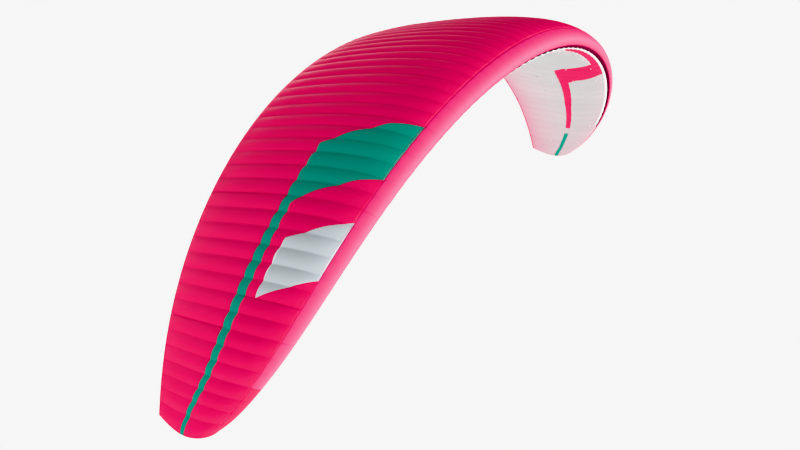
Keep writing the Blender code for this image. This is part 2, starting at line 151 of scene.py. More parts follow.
def arc_table():
    """Span fraction, distance out and height along the arc, added up from its angle."""
    u = np.linspace(0, 1, ARC_SAMPLES)
    angle = power_sum(ARC, u)
    step = HALF_SPAN / (ARC_SAMPLES - 1)
    out = np.concatenate([[0], np.cumsum((np.cos(angle[1:]) + np.cos(angle[:-1])) / 2)]) * step
    down = np.concatenate([[0], np.cumsum((np.sin(angle[1:]) + np.sin(angle[:-1])) / 2)]) * step
    return u, out, -down


ARC_U, ARC_X, ARC_Z = arc_table()


def leading_edge(u):
    a, b, c = LEADING_SWEEP
    return a * u**2 + b * u**4 + c * u**8


def chord_at(station):
    u = span_fraction(from_tip(station))
    a, b = TRAILING_SWEEP
    return ROOT_CHORD + a * u**2 + b * u**4 - leading_edge(u)


def cell_width(station):
    rib = np.clip(from_tip(station), 0.5, MIDDLE - 0.5)
    return HALF_SPAN * (span_fraction(rib - 0.5) - span_fraction(rib + 0.5))


def half_thickness(w):
    """Half the thickness of the standard four-digit section at w, whose square is the chord fraction."""
    t = w * w
    shape = 0.2969 * np.abs(w) - 0.126 * t - 0.3516 * t**2 + 0.2843 * t**3 - 0.1036 * t**4
    return 5 * THICKNESS * shape


def section(w):
    """Point of the section for w from -1, the lower rear, through 0, the nose, to 1, the upper rear."""
    return w * w, np.sign(w) * half_thickness(w)


def section_normal(w):
    """Unit normal of the section at w, pointing out of the wing."""
    x0, y0 = section(np.maximum(w - SLOPE_STEP, -1))
    x1, y1 = section(np.minimum(w + SLOPE_STEP, 1))
    length = np.hypot(x1 - x0, y1 - y0)
    return -(y1 - y0) / length, (x1 - x0) / length


def calm_hem(w):
    """How much of the swell is left towards the hem: all of it up to none at the edge."""
    return np.minimum(1, (1 - w * w) / BULGE_FADE) ** 0.5


def swell(station, w):
    """How far the air pushes the cloth out between two ribs: a round arch, calm at the nose and the hem."""
    across = station - np.floor(station)
    middle = np.floor(from_tip(station)) + 0.5
    share = np.clip((w + BULGE_BLEND) / (2 * BULGE_BLEND), 0, 1)
    depth = LOWER_BULGE + (UPPER_BULGE - LOWER_BULGE) * share
    full = np.where(w > 0, CALM_UPPER, CALM_LOWER)
    rise = np.clip((np.abs(w) - CALM_NOSE) / (full - CALM_NOSE), 0, 1)
    arch = 4 * across * (1 - across) * depth * calm_hem(w)
    return arch * rise**2 * (3 - 2 * rise) * cell_width(middle)


def tip_reach(rib, t):
    """How far a point near the tip lies out past its section, which rounds the tip in plan."""
    t = np.clip(t, 0, 1)
    edge = TIP_START + TIP_SLOPE * t + TIP_CROWN * np.sin(math.pi * t**TIP_POWER)
    return edge * np.maximum(0, 1 - rib / TIP_FADE)**2


def place(station, along, up, beyond=0.0):
    """Turns section coordinates in metres, at a station, into points of the wing's arc."""
    u = span_fraction(from_tip(station))
    beyond = beyond + tip_reach(from_tip(station), along / chord_at(station))
    twist = power_sum(WASHOUT, u)
    back = along * np.cos(twist) + up * np.sin(twist)
    rise = up * np.cos(twist) - along * np.sin(twist)
    angle = power_sum(ARC, u)
    x = np.interp(u, ARC_U, ARC_X) + rise * np.sin(angle) + beyond * np.cos(angle)
    z = np.interp(u, ARC_U, ARC_Z) + rise * np.cos(angle) - beyond * np.sin(angle)
    return np.stack([side_of(station) * x, leading_edge(u) + back - LIFT_POINT * ROOT_CHORD, z], -1)


def wing_point(station, w, depth=0.0):
    """Points of the inflated wing's outer face, moved in from it by depth."""
    chord = chord_at(station)
    along, up = section(w)
    normal_along, normal_up = section_normal(w)
    off = swell(station, w) - depth
    return place(station, along * chord + normal_along * off, up * chord + normal_up * off)


def nylon_sheet(name, code, shade_code):
    """Uncoated stiff nylon: a fine even cloth with a dull face, a little darker where it was handled."""
    material = bpy.data.materials.new(name)
    material.use_nodes = True
    tree = material.node_tree
    shader = tree.nodes["Principled BSDF"]
    point = add_node(tree, "ShaderNodeTexCoord").outputs["Object"]
    patches = add_node(tree, "ShaderNodeTexNoise", {"Vector": point, "Scale": HANDLED_SCALE, "Detail": 3.0})
    tint = mix_colour(tree, patches.outputs["Fac"], hex_colour(code), hex_colour(shade_code))
    weave = add_node(tree, "ShaderNodeTexNoise", {"Vector": point, "Scale": WEAVE_SCALE})
    relief = add_node(tree, "ShaderNodeBump", {"Height": weave.outputs["Fac"], "Strength": WEAVE_STRENGTH,
                                               "Distance": WEAVE_RELIEF})
    tree.links.new(tint, shader.inputs["Base Color"])
    tree.links.new(relief.outputs["Normal"], shader.inputs["Normal"])
    shader.inputs["Roughness"].default_value = NYLON_ROUGHNESS
    shader.inputs["Specular IOR Level"].default_value = NYLON_GLOSS
    return material


def solidify(piece, thickness, offset):
    wall = piece.modifiers.new("cloth", "SOLIDIFY")
    wall.thickness = thickness
    wall.offset = offset
    wall.use_rim = True
    return piece


def link_piece(name, mesh, material):
    piece = bpy.data.objects.new(name, mesh)
    mesh.materials.append(material)
    bpy.context.scene.collection.objects.link(piece)
    return piece


def sew_on(piece, nodes):
    """Hangs the piece on the root and hides the solids that it stands for."""
    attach(piece, "root")
    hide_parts(*nodes)


def stations_of(first, last, side):
    """Stations between two ribs counted from the tip: side -1 is -X, the pilot's right."""
    if side < 0:
        return first, last
    return CELLS - last, CELLS - first


def rib_loops(station):
    """Outline of a rib and of its ports, in metres in the section's own plane."""
    chord = chord_at(station)
    tail = math.sqrt(RIB_TAIL)
    w = np.linspace(-tail, tail, RIB_OUTLINE_POINTS)
    along, up = section(w)
    normal_along, normal_up = section_normal(w)
    inset = CLOTH + RIB_CLOTH / 2
    loops = [np.stack([along * chord - normal_along * inset, up * chord - normal_up * inset], -1)]
    turn = np.linspace(0, 2 * math.pi, PORT_POINTS, endpoint=False)
    for centre, height in PORTS:
        across = PORT_LENGTH / 2 * np.cos(turn) + centre
        tall = half_thickness(math.sqrt(centre)) * height * np.sin(turn)
        loops.append(np.stack([across * chord, tall * chord], -1))
    return loops


def rib_mesh(name, ribs):
    """All the ribs of a bay, each a flat sheet with its ports cut out."""
    verts = []
    faces = []
    area = 0.0
    for station in ribs:
        loops = rib_loops(station)
        start = len(verts)
        flat = [[Vector((*corner, 0.0)) for corner in loop] for loop in loops]
        triangles = tessellate_polygon(flat)
        corners = np.concatenate(loops)
        verts += place(np.full(len(corners), float(station)), corners[:, 0], corners[:, 1]).tolist()
        faces += [tuple(start + i for i in triangle) for triangle in triangles]
        for a, b, c in triangles:
            ab = corners[b] - corners[a]
            ac = corners[c] - corners[a]
            area += abs(ab[0] * ac[1] - ab[1] * ac[0]) / 2
    mesh = bpy.data.meshes.new(name)
    mesh.from_pydata(verts, [], faces)
    return mesh, area


def make_ribs(name, ribs, node):
    """The ribs that stand on one rear panel, as one piece."""
    mesh, area = rib_mesh(name, ribs)
    piece = solidify(link_piece(name, mesh, rib_nylon), RIB_CLOTH, 0.0)
    sew_on(piece, [node])


# White nylon, drawn pink as it looks with the light that comes through the pink cloth round it
rib_nylon = nylon_sheet("rib_nylon_lit_pink", "#E23A78", "#D02C69")
for bay_name, bay_first, bay_last in BAYS:
    for side_word, side_sign in SIDES:
        bay_ribs = [rib if side_sign < 0 else CELLS - rib for rib in range(bay_first + 1, bay_last + 1)]
        make_ribs(f"ribs_{bay_name}_{side_word}", bay_ribs, f"lower_rear_{bay_name}_panel_{side_word}")
make_ribs("ribs_centre", list(range(CENTRE_BAY[0] + 1, CENTRE_BAY[1])), "lower_rear_centre_panel")


# Lower rear panels
# Off-white coated ripstop nylon, cut cell by cell and sewn to the ribs from the colour band back to the hem.
# The air swells it out between the ribs, and pink light that comes through the upper cloth is painted on it
# where the wing is thin.

COLUMNS = (0.0, 0.05, 0.12, 0.22, 0.35, 0.5, 0.65, 0.78, 0.88, 0.95)
CORNER_COLUMNS = (10.7, 14.2, 15.2)
ROW_STEP = 0.021
LEAST_ROWS = 4
POINTED_END = 0.0005
SAME_STATION = 1e-6
WELD = 0.00002
HEM_FOLD = 0.992

# Colour borders as corners of (rib counted from the tip, chord fraction)
BAND_FRONT = ((0, 0.385), (1, 0.345), (3.5, 0.350), (8, 0.368), (13.5, 0.340), (14, 0.27),
              (15.2, INTAKE_LIP))
BAND_REAR = ((0, 0.47), (1, 0.408), (3.5, 0.408), (9, 0.43), (15.5, 0.407), (16.5, 0.39), (17.5, 0.24),
             (18, 0.09), (26, 0.078), (28, INTAKE_LIP))
HEM_BORDER = ((0, HEM_FOLD), (CELLS, HEM_FOLD))

# Gathers: short folds across each rib seam, where the swollen cloth is longer than the seam that holds it
GATHER_HEIGHT = 0.0022
GATHER_REACH = 0.045
GATHER_ROOT = 0.012
GATHER_LENGTHS = (0.082, 0.127, 0.211)
GATHER_SEED = 12
gather_phases = np.random.default_rng(GATHER_SEED).uniform(0, 2 * math.pi, (CELLS + 1, len(GATHER_LENGTHS)))

# How fast the painted light that comes through the far cloth fades with the height of the wing between them
LIGHT_THROUGH_FADE = 0.16
# Real ripstop squares are 5 mm; they are drawn 12 mm so that they show
RIPSTOP_SQUARE = 0.012
RIPSTOP_THREAD = 0.0022
SEAM_ALLOWANCE = 0.011
SEAM_FADE = 0.6

# Noise scales in swings a metre, how much each thing shades the cloth, and its relief and satin face
CREASE_SCALE = 14.0
PATCH_SCALE = 1.7
PATCH_SHADE = 0.5
# The seam band is partly the darker seam allowance and partly painted shade along the rib creases
SEAM_AND_CREASE_SHADE = 0.30
DYE_SHADE = 0.22
GRID_SHADE = 0.08
GRID_RELIEF = 0.12
CLOTH_RELIEF = 0.002
RELIEF_STRENGTH = 0.35
SATIN_ROUGHNESS = (0.5, 0.64)
SATIN_GLOSS = 0.05


def border(corners, rib):
    """Chord fraction of a colour border at a rib."""
    ribs, fractions = zip(*corners)
    return np.interp(rib, ribs, fractions)


def columns_between(first, last):
    """Stations of a panel's mesh columns, closer beside the ribs, drawn in by half a seam at both ends."""
    grid = [cell + part for cell in range(CELLS) for part in COLUMNS] + [CELLS]
    grid += list(CORNER_COLUMNS) + [CELLS - corner for corner in CORNER_COLUMNS]
    stations = np.array(sorted(s for s in grid if first - SAME_STATION <= s <= last + SAME_STATION))
    half = SEAM_GAP / 2
    stations[0] += half / cell_width(stations[0])
    stations[-1] -= half / cell_width(stations[-1])
    return stations


def rows_between(front, rear, stations):
    """Chord fractions of a panel's rows at each station, between its front and rear borders."""
    rib = from_tip(stations)
    chord = chord_at(stations)
    start = border(front, rib) + SEAM_GAP / 2 / chord
    end = np.maximum(border(rear, rib) - SEAM_GAP / 2 / chord, start)
    pointed = end < start + POINTED_END
    middle = (start + end) / 2
    start = np.where(pointed, middle, start)
    end = np.where(pointed, middle, end)
    count = max(LEAST_ROWS, math.ceil(float(((end - start) * chord).max()) / ROW_STEP) + 1)
    return start[:, None] + (end - start)[:, None] * np.linspace(0, 1, count)[None, :]


def seam_distance(station):
    """Metres from a station to the nearest rib seam."""
    across = station - np.floor(station)
    return np.minimum(across, 1 - across) * cell_width(station)


def gathers(station, w):
    """Depth of the gathers beside the rib seams."""
    rib = np.round(station).astype(int)
    distance = seam_distance(station)
    along = w * w * chord_at(station) * np.sign(w)
    wave = sum(np.sin(2 * math.pi * along / length + gather_phases[rib, i])
               for i, length in enumerate(GATHER_LENGTHS))
    swing = np.exp(-distance / GATHER_REACH) * (1 - np.exp(-distance / GATHER_ROOT))
    rise = np.clip((np.abs(w) - CALM_NOSE) / (CALM_UPPER - CALM_NOSE), 0, 1)
    return GATHER_HEIGHT * swing * (1 + wave / len(GATHER_LENGTHS)) * rise * calm_hem(w)


def grid_mesh(name, points, plan, seam, light_through, cell, turned=False):
    """A grid of cloth in columns and rows of points. It carries the flat plan in metres as its UV map, and
    for its finish the distance to the nearest rib seam, the share of painted light that comes through from
    the far cloth, and the number of its cell."""
    columns, rows = points.shape[:2]
    index = np.arange(columns * rows).reshape(columns, rows)
    quads = np.stack([index[:-1, :-1], index[1:, :-1], index[1:, 1:], index[:-1, 1:]], -1).reshape(-1, 4)
    if turned:
        quads = quads[:, ::-1]
    mesh = bpy.data.meshes.new(name)
    mesh.from_pydata(points.reshape(-1, 3).tolist(), [], quads.tolist())
    for label, values, domain in (("seam", seam, "POINT"), ("light_through", light_through, "POINT"),
                                  ("cell", np.repeat(cell, rows - 1), "FACE")):
        attribute = mesh.attributes.new(label, "FLOAT", domain)
        attribute.data.foreach_set("value", values.ravel().astype(np.float32))
    corner = np.zeros(len(mesh.loops), np.int32)
    mesh.loops.foreach_get("vertex_index", corner)
    flat = plan.reshape(-1, 2)[corner].astype(np.float32)
    mesh.uv_layers.new(name="plan").data.foreach_set("uv", flat.ravel())

    bm = bmesh.new()
    bm.from_mesh(mesh)
    bmesh.ops.remove_doubles(bm, verts=bm.verts, dist=WELD)
    bm.to_mesh(mesh)
    bm.free()
    mesh.polygons.foreach_set("use_smooth", np.ones(len(mesh.polygons), bool))
    return mesh


def cloth_mesh(name, stations, lines, depth):
    """Cloth on the wing: one column of points a station, whose lines (w) rise, moved in by depth."""
    station = np.repeat(stations[:, None], lines.shape[1], 1)
    points = wing_point(station, lines, depth)
    # Painted light: how much of the far cloth's colour is lit through this cloth, more where the wing is
    # thin
    light_through = np.exp(-2 * half_thickness(lines) * chord_at(station) / LIGHT_THROUGH_FADE)
    cell = np.floor((stations[:-1] + stations[1:]) / 2)
    u = span_fraction(from_tip(station))
    plan = np.stack([side_of(station) * u * HALF_SPAN,
                     leading_edge(u) + lines * lines * chord_at(station)], -1)
    return grid_mesh(name, points, plan, seam_distance(station), light_through, cell)


def ripstop(name, code, shade_code, lit_through_code=None):
    """Coated ripstop nylon: fine cloth with a grid of thicker threads and a satin face. It is a shade darker
    from patch to patch and each cell's piece differs a little; over the seam allowances it is darker too,
    partly as a seam and partly as painted shade along the rib creases. Where a lit colour is given, painted
    light that comes through from the far cloth is mixed in."""
    material = bpy.data.materials.new(name)
    material.use_nodes = True
    tree = material.node_tree
    shader = tree.nodes["Principled BSDF"]
    plan = add_node(tree, "ShaderNodeUVMap", uv_map="plan").outputs["UV"]
    split = add_node(tree, "ShaderNodeSeparateXYZ", {"Vector": plan})
    threads = []
    for axis in ("X", "Y"):
        away = add_node(tree, "ShaderNodeMath", {0: split.outputs[axis], 1: RIPSTOP_SQUARE / 2},
                        operation="PINGPONG").outputs["Value"]
        thread = add_node(tree, "ShaderNodeMapRange", {"Value": away, "From Max": RIPSTOP_THREAD / 2,
                                                       "To Min": 1.0, "To Max": 0.0})
        threads.append(thread.outputs["Result"])
    grid = add_node(tree, "ShaderNodeMath", {0: threads[0], 1: threads[1]},
                    operation="MAXIMUM").outputs["Value"]
    crease = add_node(tree, "ShaderNodeTexNoise", {"Vector": plan, "Scale": CREASE_SCALE, "Detail": 5.0,
                                                   "Roughness": 0.6}).outputs["Fac"]
    patches = add_node(tree, "ShaderNodeTexNoise", {"Vector": plan, "Scale": PATCH_SCALE, "Detail": 2.0})
    seam = add_node(tree, "ShaderNodeAttribute", attribute_name="seam").outputs["Fac"]
    # Painted shade along the rib creases, laid over the seam allowance
    allowance_and_crease_shade = add_node(tree, "ShaderNodeMapRange", {"Value": seam, "From Min": SEAM_ALLOWANCE * SEAM_FADE,
                                                      "From Max": SEAM_ALLOWANCE, "To Min": 1.0,
                                                      "To Max": 0.0}).outputs["Result"]
    cell = add_node(tree, "ShaderNodeAttribute", attribute_name="cell").outputs["Fac"]
    dye = add_node(tree, "ShaderNodeTexWhiteNoise", {"W": cell}, noise_dimensions="1D").outputs["Value"]
    shade = add_node(tree, "ShaderNodeMath", {0: patches.outputs["Fac"], 1: PATCH_SHADE},
                     operation="MULTIPLY").outputs["Value"]
    for part, share in ((allowance_and_crease_shade, SEAM_AND_CREASE_SHADE), (dye, DYE_SHADE), (grid, GRID_SHADE)):
        shade = add_node(tree, "ShaderNodeMath", {0: part, 1: share, 2: shade},
                         operation="MULTIPLY_ADD").outputs["Value"]
    colour = mix_colour(tree, shade, hex_colour(code), hex_colour(shade_code))
    if lit_through_code:
        # Painted light that comes through from the far cloth, mixed in where the wing is thin
        light_through = add_node(tree, "ShaderNodeAttribute", attribute_name="light_through").outputs["Fac"]
        colour = mix_colour(tree, light_through, colour, hex_colour(lit_through_code))
    relief = add_node(tree, "ShaderNodeMath", {0: grid, 1: GRID_RELIEF, 2: crease},
                      operation="MULTIPLY_ADD").outputs["Value"]
    bump = add_node(tree, "ShaderNodeBump", {"Height": relief, "Strength": RELIEF_STRENGTH,
                                             "Distance": CLOTH_RELIEF})
    gloss = add_node(tree, "ShaderNodeMapRange", {"Value": crease, "To Min": SATIN_ROUGHNESS[0],
                                                  "To Max": SATIN_ROUGHNESS[1]})
    tree.links.new(colour, shader.inputs["Base Color"])
    tree.links.new(bump.outputs["Normal"], shader.inputs["Normal"])
    tree.links.new(gloss.outputs["Result"], shader.inputs["Roughness"])
    shader.inputs["Specular IOR Level"].default_value = SATIN_GLOSS
    return material


def make_panel(name, span, borders, face, material, nodes):
    """A sewn panel between two ribs and two borders: face is 1 on top and -1 below."""
    first, last = span
    front, rear = borders
    stations = columns_between(first, last)
    fractions = rows_between(front, rear, stations)
    lines = np.sqrt(fractions) if face > 0 else -np.sqrt(fractions[:, ::-1])
    station = np.repeat(stations[:, None], lines.shape[1], 1)
    mesh = cloth_mesh(name, stations, lines, gathers(station, lines))
    piece = solidify(link_piece(name, mesh, material), CLOTH, -1.0)
    sew_on(piece, nodes)


# Off-white, a little cold where the wing is thick, with pink light painted on it where the upper cloth is
# close behind it
lining_ripstop = ripstop("off_white_ripstop_nylon", "#C1C5C3", "#B1B5B4", "#CE8B9E")
for bay_name, bay_first, bay_last in BAYS:
    for side_word, side_sign in SIDES:
        make_panel(f"lower_rear_{bay_name}_cloth_{side_word}", stations_of(bay_first, bay_last, side_sign),
                   (BAND_REAR, HEM_BORDER), -1, lining_ripstop,
                   [f"lower_rear_{bay_name}_panel_{side_word}"])
make_panel("lower_rear_centre_cloth", CENTRE_BAY, (BAND_REAR, HEM_BORDER), -1, lining_ripstop,
           ["lower_rear_centre_panel"])


# Lower front panels and the colour band
# The same ripstop runs from the intakes back to the band. The band is sewn in from dyed cloth: a teal stripe
# from the tip, a bare gap, a pink stripe, and a pink chevron whose arms run to the intakes.

LIP_BORDER = ((0, NOSE_LIP), (CLOSED_CELLS, NOSE_LIP), (CLOSED_CELLS + 1, INTAKE_LIP), (CELLS, INTAKE_LIP))
LOWER_PANELS = (
    ("lower_front_tip", 0, 7, LIP_BORDER, BAND_FRONT, "lining"),
    ("lower_front_outer", 7, 15.2, LIP_BORDER, BAND_FRONT, "lining"),
    ("lower_teal_stripe", 0, 3.5, BAND_FRONT, BAND_REAR, "teal"),
    ("lower_stripe_gap", 3.5, 4.5, BAND_FRONT, BAND_REAR, "lining"),
    ("lower_pink_stripe", 4.5, 13.5, BAND_FRONT, BAND_REAR, "pink"),
    ("lower_pink_insert", 13.5, 28, BAND_FRONT, BAND_REAR, "pink"),
)

# Saturated cold pink, which the satin face lifts to a light pink where it turns to the light
pink_ripstop = ripstop("cerise_pink_ripstop_nylon", "#E7005C", "#D20050")
# Blue-green that stays deep in the folds
teal_ripstop = ripstop("teal_ripstop_nylon", "#00917D", "#00806E")
cloths = {"lining": lining_ripstop, "pink": pink_ripstop, "teal": teal_ripstop}


def node_named(name, word):
    """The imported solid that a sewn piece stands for."""
    plain = f"{name}_{word}"
    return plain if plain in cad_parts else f"{name}_panel_{word}"


def make_panels(panels, face):
    """Both sides' panels of a list: (name, first rib, last rib, front border, rear border, slot)."""
    for name, first, last, front, rear, slot in panels:
        for word, side in SIDES:
            make_panel(f"{name}_cloth_{word}", stations_of(first, last, side), (front, rear), face,
                       cloths[slot], [node_named(name, word)])


make_panels(LOWER_PANELS, -1)


# Upper panels
# Pink ripstop covers the top from the nose seam to the hem. A teal stripe and a teal and a white insert are
# sewn in flush, seam to seam, where the pink was cut away for them.

TEAL_FRONT = ((0, 0.468), (4, 0.416), (14.5, 0.416), (15, 0.385), (16.5, 0.145), (17, NOSE_SEAM))
TEAL_REAR = ((0, 0.537), (4, 0.484), (10, 0.484), (18.5, 0.463), (19, 0.415), (20.5, 0.185),
             (21, NOSE_SEAM))
WHITE_FRONT = ((9, 0.343), (10.7, NOSE_SEAM))
WHITE_REAR = ((9, 0.343), (12, 0.345), (12.5, 0.335), (14.2, NOSE_SEAM))
NOSE_BORDER = ((0, NOSE_SEAM), (CELLS, NOSE_SEAM))
UPPER_PANELS = (
    ("upper_front_tip", 0, 9, NOSE_BORDER, TEAL_FRONT, "pink"),
    ("upper_front_outer", 9, 10.7, NOSE_BORDER, WHITE_FRONT, "pink"),
    ("upper_white_insert", 9, 14.2, WHITE_FRONT, WHITE_REAR, "white"),
    ("upper_front_inner", 9, 17, WHITE_REAR, TEAL_FRONT, "pink"),
    ("upper_teal_stripe", 0, 9, TEAL_FRONT, TEAL_REAR, "teal"),
    ("upper_teal_insert", 9, 21, TEAL_FRONT, TEAL_REAR, "teal"),
)

# Cold light grey, close to white, with the shade of the cloth behind it
cloths["white"] = ripstop("pale_grey_ripstop_nylon", "#C6CDD1", "#B2BABF")

make_panels(UPPER_PANELS, 1)
for bay_name, bay_first, bay_last in BAYS:
    for side_word, side_sign in SIDES:
        make_panel(f"upper_rear_{bay_name}_cloth_{side_word}", stations_of(bay_first, bay_last, side_sign),
                   (TEAL_REAR, HEM_BORDER), 1, pink_ripstop,
                   [f"upper_rear_{bay_name}_panel_{side_word}"])
make_panel("upper_rear_centre_cloth", CENTRE_BAY, (TEAL_REAR, HEM_BORDER), 1, pink_ripstop,
           ["upper_rear_centre_panel"])


# Nose panels
# A smooth band of the same pink cloth that wraps the leading edge, from the seam on top round to the upper
# lip of the intakes. It lies taut, so it doesn't swell between the ribs.

NOSE_ROWS = 26

# The same cloth, paler towards the leading edge, where the light of the open intakes comes through it
nose_ripstop = ripstop("cerise_pink_ripstop_lit_through", "#EA1468", "#D60E5C", "#FB689E")


def make_nose(name, span, node):
    """The nose cloth of one bay, in rows from the lip under the nose up to the seam on top."""
    stations = columns_between(*span)
    chord = chord_at(stations)
    top = np.sqrt(NOSE_SEAM - SEAM_GAP / 2 / chord)
    low = -np.sqrt(NOSE_LIP - SEAM_GAP / 2 / chord)
    lines = low[:, None] + (top - low)[:, None] * np.linspace(0, 1, NOSE_ROWS)[None, :]
    mesh = cloth_mesh(name, stations, lines, 0.0)
    piece = solidify(link_piece(name, mesh, nose_ripstop), CLOTH, -1.0)
    # The cells beside the tips have no intake, so no light comes through their nose
    mesh.materials.append(pink_ripstop)
    for face in mesh.polygons:
        cell = mesh.attributes["cell"].data[face.index].value
        face.material_index = int(min(cell, CELLS - 1 - cell) < CLOSED_CELLS)
    sew_on(piece, [node])


for bay_name, bay_first, bay_last in BAYS:
    for side_word, side_sign in SIDES:
        make_nose(f"nose_{bay_name}_cloth_{side_word}", stations_of(bay_first, bay_last, side_sign),
                  f"nose_{bay_name}_panel_{side_word}")
make_nose("nose_centre_cloth", CENTRE_BAY, "nose_centre_panel")


# Tip end panels
# A pink sheet cut to the section of the tip closes each end of the wing. It is sewn in all round, and the
# air rounds it a little outwards.

TIP_SWELL = 0.016
TIP_COLUMNS = 44
TIP_ROWS = 9
TIP_CROWDING = 1.5


def make_tip(name, station, node):
    """The cloth of one tip, in columns from nose to tail, each from the lower edge to the upper edge."""
    chord = float(chord_at(station))
    w = np.sin(np.linspace(0, math.pi / 2, TIP_COLUMNS)) ** TIP_CROWDING
    share = np.linspace(0, 1, TIP_ROWS)
    half = half_thickness(w)
    along = np.repeat((w * w)[:, None], TIP_ROWS, 1)
    up = half[:, None] * (2 * share - 1)[None, :]
    belly = (half / half.max())[:, None] * (1 - (2 * share - 1) ** 2)[None, :]
    points = place(np.full(along.shape, float(station)), along * chord, up * chord,
                   TIP_SWELL * belly + CLOTH)
    seam = np.minimum(share, 1 - share)[None, :] * half[:, None] * 2 * chord
    plan = np.stack([along * chord, up * chord], -1)
    mesh = grid_mesh(name, points, plan, seam, np.zeros_like(seam), np.zeros(TIP_COLUMNS - 1),
                     turned=station == 0)
    piece = solidify(link_piece(name, mesh, pink_ripstop), CLOTH, -1.0)
    sew_on(piece, [node])


for side_word, end_station in (("right", 0), ("left", CELLS)):
    make_tip(f"tip_end_cloth_{side_word}", end_station, f"tip_end_panel_{side_word}")


# Edge tapes
# Woven nylon tape, folded over each raw edge of the cloth and sewn through both: white along the intakes'
# lower lip, pink along their upper lip, and pink round the hem, where it closes the trailing edge.

TAPE = 0.0006
LIP_TAPE = 0.030
NOSE_TAPE = 0.012
HEM_TAPE = 0.018
FOLD = 0.0006
# How far each line of a tape lies from the edge that it folds round, as shares of the tape's width
OUTER_STEPS = (1.0, 0.7, 0.4, 0.03)
INNER_STEPS = (0.03, 0.4)


def make_tape(name, span, rows, material, nodes):
    """A folded tape: rows gives the place round the section (w) and the depth of each of its lines."""
    stations = columns_between(*span)
    lines, depths = rows(chord_at(stations))
    mesh = cloth_mesh(name, stations, lines, depths)
    piece = solidify(link_piece(name, mesh, material), TAPE, 0.0)
    sew_on(piece, nodes)


def folded_rows(lip, reach, chord):
    """Lines round a lip, from the tape's outer edge to its inner edge. Its reach is its width, minus where
    the tape lies ahead of the lip."""
    fold = math.copysign(FOLD, reach)
    fractions = [lip + reach * step / chord for step in OUTER_STEPS]
    fractions += [lip - fold / chord]
    fractions += [lip + reach * step / chord for step in INNER_STEPS]
    depths = [-TAPE] * len(OUTER_STEPS) + [CLOTH / 2] + [CLOTH + TAPE] * len(INNER_STEPS)
    lines = -np.sqrt(np.stack(fractions, 1))
    return lines, np.broadcast_to(np.array(depths), lines.shape)


def lip_rows(chord):
    """Lines of the tape on the intakes' lower lip."""
    return folded_rows(INTAKE_LIP, LIP_TAPE, chord)


def nose_rows(chord):
    """Lines of the tape on the intakes' upper lip, turned so that its faces look outwards."""
    lines, depths = folded_rows(NOSE_LIP, -NOSE_TAPE, chord)
    return lines[:, ::-1], depths[:, ::-1]


def hem_rows(chord):
    """Lines of the tape round the hem, from its edge on the upper face to its edge on the lower face."""
    upper = np.sqrt(np.stack([1 - HEM_TAPE * step / chord for step in OUTER_STEPS], 1))
    lines = np.concatenate([upper, -upper[:, ::-1]], 1)
    return lines, np.full(lines.shape, -TAPE)


# Plain white, the one bright line under the nose
white_tape = nylon_sheet("white_edge_tape", "#F4F4F2", "#E6E6E4")
# The same pink as the cloth, but dull
pink_tape = nylon_sheet("pink_edge_tape", "#DC0A5E", "#C80054")
for side_word, side_sign in SIDES:
    for bay_name, bay_first, bay_last in BAYS:
        open_span = stations_of(max(bay_first, CLOSED_CELLS + 1), bay_last, side_sign)
        whole_span = stations_of(bay_first, bay_last, side_sign)
        make_tape(f"intake_lip_tape_{bay_name}_{side_word}", open_span, lip_rows, white_tape,
                  [f"lower_rear_{bay_name}_panel_{side_word}"])
        make_tape(f"nose_lip_tape_{bay_name}_{side_word}", open_span, nose_rows, pink_tape,
                  [f"nose_{bay_name}_panel_{side_word}"])
        make_tape(f"hem_tape_{bay_name}_{side_word}", whole_span, hem_rows, pink_tape,
                  [f"upper_rear_{bay_name}_panel_{side_word}"])
make_tape("intake_lip_tape_centre", CENTRE_BAY, lip_rows, white_tape, ["lower_rear_centre_panel"])
make_tape("nose_lip_tape_centre", CENTRE_BAY, nose_rows, pink_tape, ["nose_centre_panel"])
make_tape("hem_tape_centre", CENTRE_BAY, hem_rows, pink_tape, ["upper_rear_centre_panel"])


# Line and brake loops
# Loops of 16 mm white webbing, sewn into the rib seams in rows A, B and C under the wing, and pink ones at
# the hem for the brakes. The lines would be looped through them.

TAB_ROWS = (0.11, 0.29, 0.60)
BRAKE_ROW = 0.985
TAB_RIBS = range(2, 33, 3)
BRAKE_RIBS = range(2, 24, 3)
WEBBING_WIDTH = 0.016
WEBBING = 0.0011
LOOP_HALF_GAP = 0.0020
LOOP_LENGTH = 0.020
LOOP_ROOT = 0.001
LOOP_ARC = 6
AHEAD_STEP = 0.004
SIDE_STEP = 0.01


def loop_shape():
    """One loop: a strap that stands up, bends over in a half circle and comes back down."""
    turn = np.linspace(math.pi, 0, LOOP_ARC)
    outer = LOOP_HALF_GAP
    inner = LOOP_HALF_GAP - WEBBING
    top = LOOP_LENGTH - outer
    profile = []
    for radius, angles in ((outer, turn), (inner, turn[::-1])):
        ends = [(radius * math.cos(angles[0]), -LOOP_ROOT), (radius * math.cos(angles[-1]), -LOOP_ROOT)]
        bend = [(radius * math.cos(a), top + radius * math.sin(a)) for a in angles]
        profile += [ends[0]] + bend + [ends[1]]
    count = len(profile)
    verts = [(x, y, z) for y in (-WEBBING_WIDTH / 2, WEBBING_WIDTH / 2) for x, z in profile]
    faces = [(i, (i + 1) % count, count + (i + 1) % count, count + i) for i in range(count)]
    for start, turned in ((0, False), (count, True)):
        for i in range(count // 2 - 1):
            quad = (start + i, start + count - 1 - i, start + count - 2 - i, start + i + 1)
            faces.append(quad[::-1] if turned else quad)
    mesh = bpy.data.meshes.new("webbing_loop")
    mesh.from_pydata(verts, [], faces)
    bm = bmesh.new()
    bm.from_mesh(mesh)
    bmesh.ops.recalc_face_normals(bm, faces=bm.faces)
    bm.to_mesh(mesh)
    bm.free()
    return bpy.data.objects.new("webbing_loop", mesh)


